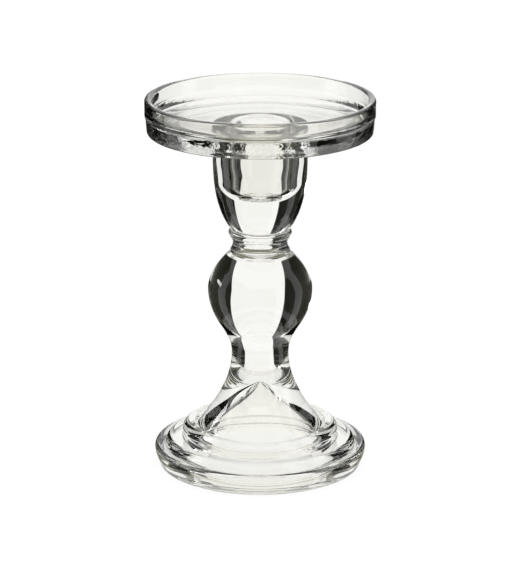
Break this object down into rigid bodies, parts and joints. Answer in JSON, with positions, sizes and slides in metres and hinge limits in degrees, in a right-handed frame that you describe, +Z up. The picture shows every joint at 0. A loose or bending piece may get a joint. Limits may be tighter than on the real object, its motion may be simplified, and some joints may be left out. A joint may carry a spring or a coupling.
{
  "type": "candlestick",
  "caption": "Clear pressed-glass candlestick: dished pillar tray over a taper socket, ringed neck, baluster knop and stepped bell foot.",
  "frame": {"origin": "centre of the foot's underside, on the table", "axes": "+Z up along the candlestick's axis; the object is turned about +Z, so +X and +Y are alike"},
  "size_m": [0.09, 0.09, 0.1493],
  "materials": {
    "foot_glass": "fire-polished clear soda-lime glass, faint grey-green in thick sections",
    "stem_glass": "fire-polished clear soda-lime glass, faint waviness from the mould",
    "tray_glass": "pressed clear soda-lime glass with a rounded, fire-polished lip"
  },
  "bodies": {
    "root": {"bell_foot": "foot_glass", "baluster_knop": "stem_glass", "lower_neck_ring": "stem_glass", "upper_neck_ring": "stem_glass", "taper_socket": "stem_glass", "candle_tray": "tray_glass"}
  },
  "joints": []
}
